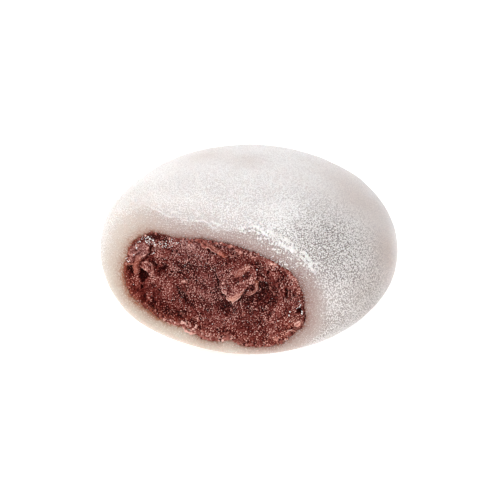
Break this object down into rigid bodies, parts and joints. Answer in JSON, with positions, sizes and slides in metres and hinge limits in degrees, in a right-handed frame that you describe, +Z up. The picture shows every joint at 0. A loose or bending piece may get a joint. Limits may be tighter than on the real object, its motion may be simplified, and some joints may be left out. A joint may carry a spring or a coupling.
{
  "type": "filled rice cake",
  "caption": "Soft round filled rice cake with a slice cut off its front, showing the sweet bean paste inside a dusted rice skin.",
  "frame": {"origin": "on the surface it stands on, under the middle of the cake's box", "axes": "+X across the cut side, +Z up; the cut side looks along -Y, leaning back a little"},
  "size_m": [0.055, 0.0482, 0.0272],
  "materials": {
    "rice_skin": "soft, slightly translucent cooked rice dough, dusted with fine starch",
    "bean_paste": "coarse moist red bean paste, cut open"
  },
  "bodies": {
    "root": {"mochi_skin": "rice_skin", "red_bean_filling": "bean_paste"}
  },
  "joints": []
}
